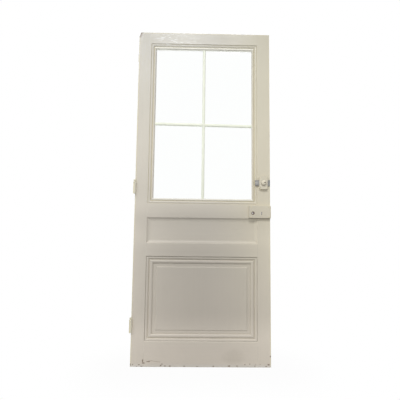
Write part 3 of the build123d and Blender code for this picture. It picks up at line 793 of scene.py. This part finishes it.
def iron_paint_material(name, painted_light_level=1.0, hinge=False):
    """The paint over iron, and nothing else."""
    material, nodes = new_material(name)
    finish_material(nodes, iron_paint(nodes, painted_light_level, hinge))
    return material


def knob_material(name):
    """The paint over iron, painted lighter as painted light, with a dent in the knob's face painted as a
    dark patch of shade.
    """
    material, nodes = new_material(name)
    # The knob's paint is painted lighter, as painted light on its face
    paint = iron_paint(nodes, painted_light_level=1.1, hinge=False)
    middle = (knob_low + knob_high) / 2
    x, _, z = nodes.axes()
    centre = (middle.x + dent_off[0], middle.z + dent_off[1])
    inside = nodes.patch((x, z), centre, dent_half, softness=0.15)
    dark_inputs = {"Base Color": dent_shade_colour, "Roughness": dent_roughness}
    dark = nodes.add("ShaderNodeBsdfPrincipled", dark_inputs).outputs[0]
    share = nodes.times(inside, nodes.on_front(limit=-0.6))
    finish_material(nodes, nodes.blend(share, paint, dark))
    return material


def glass_material():
    """Clear old sheet glass, a little wavy, that lets light through onto other things."""
    material, nodes = new_material("window_glass")
    path = nodes.add("ShaderNodeLightPath").outputs
    lets_through = nodes.larger(path["Is Shadow Ray"], path["Is Diffuse Ray"])
    waves = nodes.noise(scale=5, detail=1, stretch=brushed(z_axis, share=0.5))
    normal = nodes.bump(waves, strength=0.15, distance=0.002)
    glass = nodes.surface(
        glass_tint,
        glass_roughness,
        normal,
        {"IOR": 1.5, "Transmission Weight": 1.0, "Specular IOR Level": 0.05},
    )
    clear = nodes.add("ShaderNodeBsdfTransparent", {"Color": glass_clear}).outputs[0]
    finish_material(nodes, nodes.blend(lets_through, glass, clear))
    return material


def steel_material():
    """Bare steel gone grey, brushed by use, with painted shade at the nose of the bolts."""
    material, nodes = new_material("worn_steel")
    streaks = nodes.noise(scale=300, stretch=brushed(x_axis, share=0.08))
    clouds = nodes.noise(scale=60, detail=4)
    colour = nodes.mix(nodes.span(streaks, low=0.3, high=0.7), steel_dark, steel_light)
    colour = nodes.mix(nodes.span(clouds, low=0.52, high=0.68, end=0.7), colour, steel_stain)
    worn = nodes.times(nodes.near_edge(steel_edge_radius), steel_edge_strength)
    colour = nodes.mix(worn, colour, steel_edge)
    x = nodes.axes()[x_axis]
    nose = nodes.span(x, low=lock_edge - nose_start, high=lock_edge - nose_full, end=0.75)
    colour = nodes.mix(nose, colour, steel_nose_shade)
    roughness = nodes.span(clouds, low=0.3, high=0.7, start=0.38, end=0.55)
    normal = nodes.bump(streaks, strength=0.2, distance=0.0002)
    finish_material(nodes, nodes.surface(colour, roughness, normal, {"Metallic": 0.85}))
    return material


def brown_iron_material():
    """Iron gone brown with age, with painted shade where it doesn't look to the front, as in the square
    hole.
    """
    material, nodes = new_material("brown_iron")
    clouds = nodes.noise(scale=250, detail=4)
    colour = nodes.mix(nodes.span(clouds, low=0.35, high=0.7), brown_dark, brown_light)
    colour = nodes.mix(nodes.span(nodes.facing()[y_axis], low=-0.9, high=-0.5), colour, hole_shade_colour)
    normal = nodes.bump(clouds, strength=0.3, distance=0.0003)
    finish_material(nodes, nodes.surface(colour, brown_roughness, normal, {"Metallic": 0.2}))
    return material


def give(material, *names):
    """Sets the only material of some CAD nodes."""
    for name in names:
        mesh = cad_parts[name].data
        mesh.materials.clear()
        mesh.materials.append(material)


def named(start):
    """The CAD nodes whose names start with a word."""
    return [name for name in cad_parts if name.startswith(start)]


def screw_mesh(name, size, material):
    """A round screw head on the plane z = 0, with its slot along the x axis."""
    radius, rise, slot_width, slot_depth = size
    form = bmesh.new()
    points = [form.verts.new((across * radius, 0, up * rise)) for across, up in screw_outline]
    edges = [form.edges.new(pair) for pair in zip(points, points[1:])]
    axis = (0, 0, 1)
    bmesh.ops.spin(form, geom=points + edges, axis=axis, cent=(0, 0, 0), angle=2 * pi, steps=screw_sides)
    bmesh.ops.remove_doubles(form, verts=form.verts, dist=weld_distance)
    rim = [edge for edge in form.edges if edge.is_boundary]
    bmesh.ops.contextual_create(form, geom=rim)
    bmesh.ops.recalc_face_normals(form, faces=form.faces)
    whole = bpy.data.meshes.new(name)
    form.to_mesh(whole)
    form.clear()

    # The knife for the slot, longer than the head is wide
    bmesh.ops.create_cube(form, size=1)
    bmesh.ops.scale(form, vec=(3 * radius, slot_width, 2 * slot_depth), verts=form.verts)
    bmesh.ops.translate(form, vec=(0, 0, rise), verts=form.verts)
    knife_mesh = bpy.data.meshes.new("slot")
    form.to_mesh(knife_mesh)
    form.free()
    head = bpy.data.objects.new(name, whole)
    knife = bpy.data.objects.new("slot", knife_mesh)
    for piece in (head, knife):
        bpy.context.scene.collection.objects.link(piece)
    cut = head.modifiers.new("slot", "BOOLEAN")
    cut.object = knife
    result = bpy.data.meshes.new_from_object(head.evaluated_get(bpy.context.evaluated_depsgraph_get()))
    bpy.data.objects.remove(knife)
    bpy.data.objects.remove(head)
    result.name = name
    for face in result.polygons:
        face.use_smooth = abs(face.normal.z) > least_slope
    result.materials.append(material)
    return result


def add_screws(name, mesh, heading, turns, places):
    """Screw heads on the leaf that face one way, each with its slot turned by an angle in degrees."""
    face = Vector(heading).to_track_quat("Z", "Y").to_matrix().to_4x4()
    for number, (place, turn) in enumerate(zip(places, turns), start=1):
        screw = bpy.data.objects.new(f"{name}_{number}", mesh)
        screw.matrix_world = Matrix.Translation(place) @ face @ Matrix.Rotation(radians(turn), 4, "Z")
        bpy.context.scene.collection.objects.link(screw)
        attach(screw, "leaf")


def add_lock_screws(material):
    """Four screws in the corners of the lock's case."""
    mesh = screw_mesh("lock_screw", lock_screw_size, material)
    places = []
    for across in (lock_low.x + lock_screw_from_left, lock_high.x - lock_screw_from_right):
        for up in (lock_high.z - lock_screw_from_top, lock_low.z + lock_screw_from_top):
            places.append((across, lock_low.y, up))
    add_screws("lock_screw", mesh, to_front, lock_screw_turns, places)


def add_bolt_screws(material):
    """Four screws in the corners of the bolt's housing."""
    mesh = screw_mesh("bolt_screw", bolt_screw_size, material)
    middle = (housing_low + housing_high) / 2
    off_across, off_up = bolt_screw_off_middle
    places = []
    for across in (-off_across, off_across):
        for up in (-off_up, off_up):
            places.append((middle.x + across, housing_low.y, middle.z + up))
    add_screws("bolt_screw", mesh, to_front, bolt_screw_turns, places)


def add_flap_screws(material):
    """Three screws in each hinge flap, in a slanting row."""
    mesh = screw_mesh("flap_screw", flap_screw_size, material)
    for name, turns in flap_screw_turns.items():
        flap_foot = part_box(name)[0].z
        middle = Vector((hinge_edge, leaf_front + flap_screw_depth, flap_foot + flap_screw_rise))
        places = [middle + side * flap_screw_step for side in (-1, 0, 1)]
        add_screws(f"{name}_screw", mesh, to_hinges, turns, places)


def add_forend_screws(material):
    """A screw near each end of the lock's forend."""
    mesh = screw_mesh("forend_screw", forend_screw_size, material)
    depth = leaf_front + forend_screw_depth
    heights = (lock_low.z + forend_screw_from_end, lock_high.z - forend_screw_from_end)
    places = [(lock_edge, depth, height) for height in heights]
    add_screws("forend_screw", mesh, to_lock, forend_screw_turns, places)


add_camera()
add_room()
add_floor()
for name, place, size, power in lamps:
    add_lamp(name, place, size, power)

# Wood
give(paint_material("painted_top_rail", x_axis, streaky=True, painted_light_band=painted_light_over_window), "top_rail")
lock_rail_paint = paint_material(
    "painted_lock_rail",
    x_axis,
    own_shade_and_grime=True,
    locked=True,
    painted_light_band=painted_light_under_window,
)
give(lock_rail_paint, "lock_rail")
for name in ("middle_rail", "frieze_panel"):
    give(paint_material(f"painted_{name}", x_axis), name)
# The lower panel is painted a touch darker as painted shade, and its field's edges get a wider painted
# highlight
give(paint_material("painted_lower_panel", z_axis, painted_light_level=0.98, edge=soft_edge), "lower_panel")
give(paint_material("painted_upright_bar", z_axis, bar=True), "glazing_bar_upright")
give(paint_material("painted_cross_bar", x_axis, bar=True), "glazing_bar_left", "glazing_bar_right")
give(paint_material("painted_bottom_rail", x_axis, chipped=True), "bottom_rail")
lock_stile_paint = paint_material(
    "painted_lock_stile",
    z_axis,
    own_shade_and_grime=True,
    chipped=True,
    locked=True,
)
give(lock_stile_paint, "lock_stile")
hinge_stile_paint = paint_material(
    "painted_hinge_stile",
    z_axis,
    own_shade_and_grime=True,
    chipped=True,
    broken=True,
)
give(hinge_stile_paint, "hinge_stile")
give(paint_material("painted_putty", x_axis), *named("putty"))

# Metal and glass
plain_iron = iron_paint_material("painted_iron")
give(iron_paint_material("painted_hinge", hinge=True), "hinge_bottom", "hinge_middle", "hinge_top")
give(plain_iron, "lock_forend", "bolt_plate", "bolt_housing")
# The lock's case is painted a touch darker as painted shade
give(iron_paint_material("painted_case", painted_light_level=0.94), "lock_case")
give(knob_material("painted_knob"), "bolt_knob")
give(glass_material(), *named("glass"))
give(steel_material(), "lock_latch", "lock_deadbolt", "bolt_bar")
give(brown_iron_material(), "lock_follower", "lock_cover")

# Screws
add_lock_screws(plain_iron)
add_bolt_screws(plain_iron)
add_flap_screws(plain_iron)
add_forend_screws(plain_iron)

bpy.context.scene.view_settings.view_transform = "Standard"
